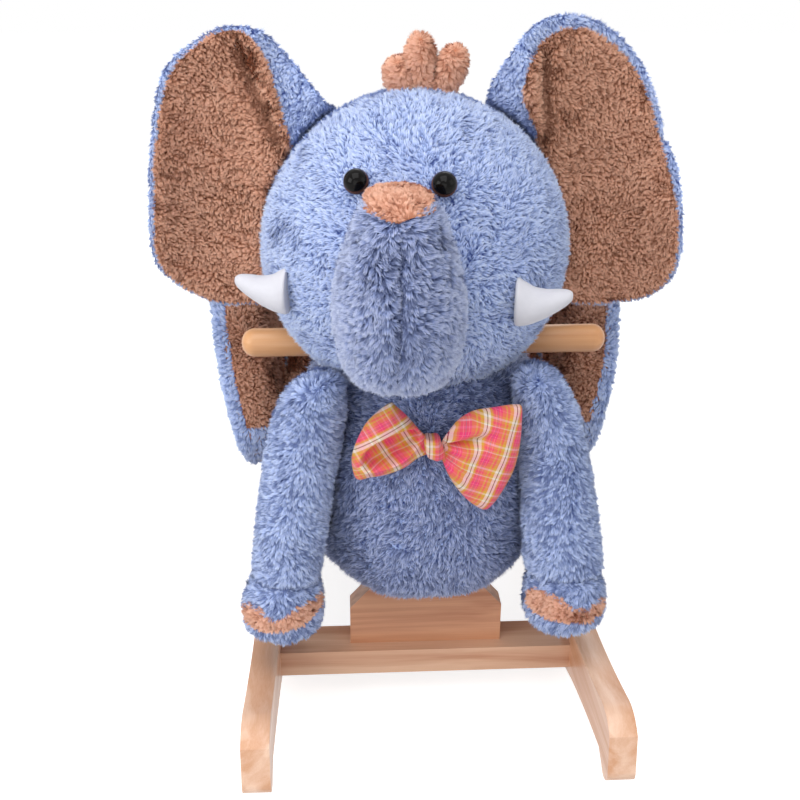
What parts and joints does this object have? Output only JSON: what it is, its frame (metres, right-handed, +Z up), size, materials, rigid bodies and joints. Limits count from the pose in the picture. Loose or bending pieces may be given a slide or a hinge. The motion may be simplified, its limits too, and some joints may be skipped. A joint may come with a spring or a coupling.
{
  "type": "rocking elephant",
  "caption": "Child's rocking toy: a plush elephant with a padded bucket seat and a round handle bar, on curved wooden rocker rails with crossbars.",
  "frame": {"origin": "on the floor, midway between the rocker rails and midway along them", "axes": "+Z up, -Y the way the elephant faces, +X the rider's left, along the crossbars and the handle"},
  "size_m": [0.4012, 0.5802, 0.523],
  "materials": {
    "pale_wood": "pale natural board, clear satin varnish",
    "handle_wood": "turned bar, clear varnish, yellower than the boards",
    "frame_wood": "plain unfinished board",
    "steel": "zinc plated",
    "blue_plush": "long shaggy pile, paler at its tips",
    "grey_plush": "long shaggy pile, greyer than the rest",
    "brown_plush": "short curly pile",
    "tan_plush": "short soft pile",
    "white_cloth": "smooth brushed cloth",
    "plaid_cotton": "woven cotton check of pink, orange, yellow and white with thin dark lines",
    "eye_gloss": "glossy black dome with a dark brown ring",
    "washer_plastic": "plain moulded"
  },
  "bodies": {
    "frame": {"rocker_rail_left": "pale_wood", "rocker_rail_right": "pale_wood", "front_crossbar": "pale_wood", "rear_crossbar": "pale_wood", "front_post": "pale_wood", "rear_post": "pale_wood", "handle_bar": "handle_wood", "keel_board": "frame_wood", "front_riser": "frame_wood", "rear_riser": "frame_wood", "seat_board": "frame_wood", "side_board_left": "frame_wood", "side_board_right": "frame_wood", "back_board": "frame_wood", "neck_post": "frame_wood", "rail_bolts": "steel", "barrel_nuts": "steel", "post_screws": "steel", "frame_screws": "steel", "head": "blue_plush", "body": "blue_plush", "seat_side_left": "blue_plush", "seat_side_right": "blue_plush", "seat_back": "blue_plush", "trunk": "grey_plush", "chest": "grey_plush", "seat_side_lining_left": "brown_plush", "seat_side_lining_right": "brown_plush", "seat_back_lining": "brown_plush", "seat_cushion": "brown_plush", "hair_tuft": "tan_plush", "trunk_patch": "tan_plush", "tusk_left": "white_cloth", "tusk_right": "white_cloth", "bow_loop_left": "plaid_cotton", "bow_loop_right": "plaid_cotton", "bow_knot": "plaid_cotton", "eye_left": "eye_gloss", "eye_right": "eye_gloss", "eye_washers": "washer_plastic"},
    "left_leg": {"front_leg_left": "blue_plush", "hoof_patch_left": "tan_plush"},
    "right_leg": {"front_leg_right": "blue_plush", "hoof_patch_right": "tan_plush"},
    "left_ear": {"ear_left": "blue_plush", "ear_lining_left": "brown_plush"},
    "right_ear": {"ear_right": "blue_plush", "ear_lining_right": "brown_plush"}
  },
  "joints": [
    {"name": "left_leg_swing", "type": "hinge", "parent": "frame", "child": "left_leg", "pos_m": [0.082, -0.166, 0.27], "axis": [1, 0, 0], "range_deg": [-40, 0]},
    {"name": "right_leg_swing", "type": "hinge", "parent": "frame", "child": "right_leg", "pos_m": [-0.082, -0.166, 0.27], "axis": [1, 0, 0], "range_deg": [-40, 0]},
    {"name": "left_ear_flap", "type": "hinge", "parent": "frame", "child": "left_ear", "pos_m": [0.095, -0.08, 0.4], "axis": [-0.2924, 0, 0.9563], "range_deg": [-12, 12], "stiffness_Nm_per_rad": 0.4},
    {"name": "right_ear_flap", "type": "hinge", "parent": "frame", "child": "right_ear", "pos_m": [-0.113, -0.08, 0.4], "axis": [0.2924, 0, 0.9563], "range_deg": [-12, 12], "stiffness_Nm_per_rad": 0.4}
  ]
}
